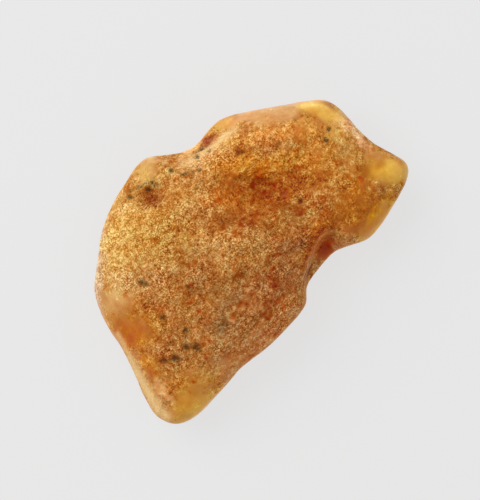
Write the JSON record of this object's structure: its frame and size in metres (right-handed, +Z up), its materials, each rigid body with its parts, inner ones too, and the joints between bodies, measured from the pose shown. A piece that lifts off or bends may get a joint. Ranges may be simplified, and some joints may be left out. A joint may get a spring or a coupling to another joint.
{
  "type": "raw amber piece",
  "caption": "Wave-worn lump of cloudy raw amber with a dull pitted crust, a broad hollow on top, a chipped notch in one side and a small level foot that it lies on.",
  "frame": {"origin": "middle of the lump's footprint, on the surface that it lies on", "axes": "+X along the lump's length, from the pointed toe to the blunt end; +Y across it, from the notched side to the rounded flank; +Z up"},
  "size_m": [0.045, 0.028, 0.0157],
  "materials": {
    "amber": "cloudy honey amber under a dull granular crust, with smooth satin patches where the crust is worn away"
  },
  "bodies": {
    "root": {"amber_pebble": "amber"}
  },
  "joints": []
}
